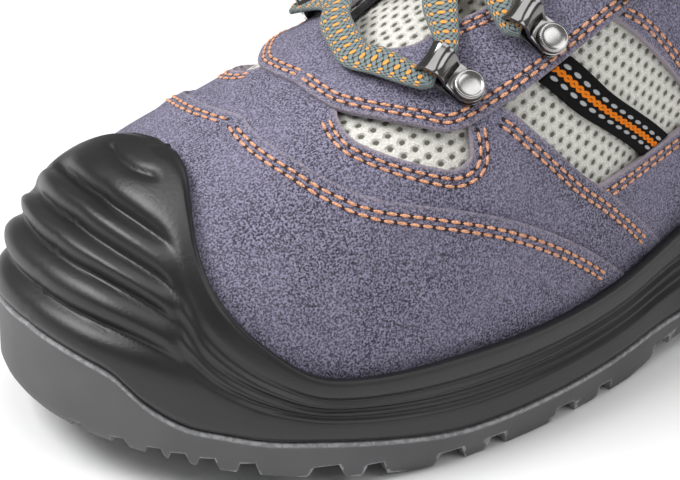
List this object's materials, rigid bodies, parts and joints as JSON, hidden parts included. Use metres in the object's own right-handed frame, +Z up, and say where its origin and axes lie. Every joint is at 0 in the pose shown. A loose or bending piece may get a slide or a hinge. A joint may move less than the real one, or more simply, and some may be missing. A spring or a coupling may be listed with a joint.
{
  "type": "safety sneaker",
  "caption": "Low safety shoe for the left foot with a moulded toe bumper, lugged outsole, suede overlays on mesh, padded collar and laces through metal loops",
  "frame": {"origin": "On the floor at the heel rest, midway along the heel tread, on the shoe's middle line", "axes": "+X from heel to toe, +Y to the outer side of the left foot, +Z up"},
  "size_m": [0.303, 0.1119, 0.1336],
  "materials": {
    "outsole_rubber": "matt moulded rubber",
    "midsole_foam": "half-gloss moulded polyurethane",
    "suede": "fine nap",
    "mesh_textile": "open knitted mesh",
    "lining": "brushed textile",
    "ribbon_webbing": "woven tape",
    "lace_cord": "flat braid",
    "loop_metal": "polished dark nickel"
  },
  "bodies": {
    "root": {"outsole": "outsole_rubber", "midsole": "midsole_foam", "insole": "lining", "upper": "mesh_textile", "toe_panel": "suede", "vamp_panel": "suede", "quarter_outer": "suede", "quarter_inner": "suede", "eyestay": "suede", "heel_counter": "suede", "collar_cuff": "lining", "ribbon_outer": "ribbon_webbing", "ribbon_inner": "ribbon_webbing", "tongue": "mesh_textile", "lace_loop_outer_1": "loop_metal", "lace_loop_outer_2": "loop_metal", "lace_loop_outer_3": "loop_metal", "lace_loop_outer_4": "loop_metal", "lace_loop_inner_1": "loop_metal", "lace_loop_inner_2": "loop_metal", "lace_loop_inner_3": "loop_metal", "lace_loop_inner_4": "loop_metal", "rivet_outer_1": "loop_metal", "rivet_outer_2": "loop_metal", "rivet_outer_3": "loop_metal", "rivet_outer_4": "loop_metal", "rivet_inner_1": "loop_metal", "rivet_inner_2": "loop_metal", "rivet_inner_3": "loop_metal", "rivet_inner_4": "loop_metal", "lace": "lace_cord"}
  },
  "joints": []
}
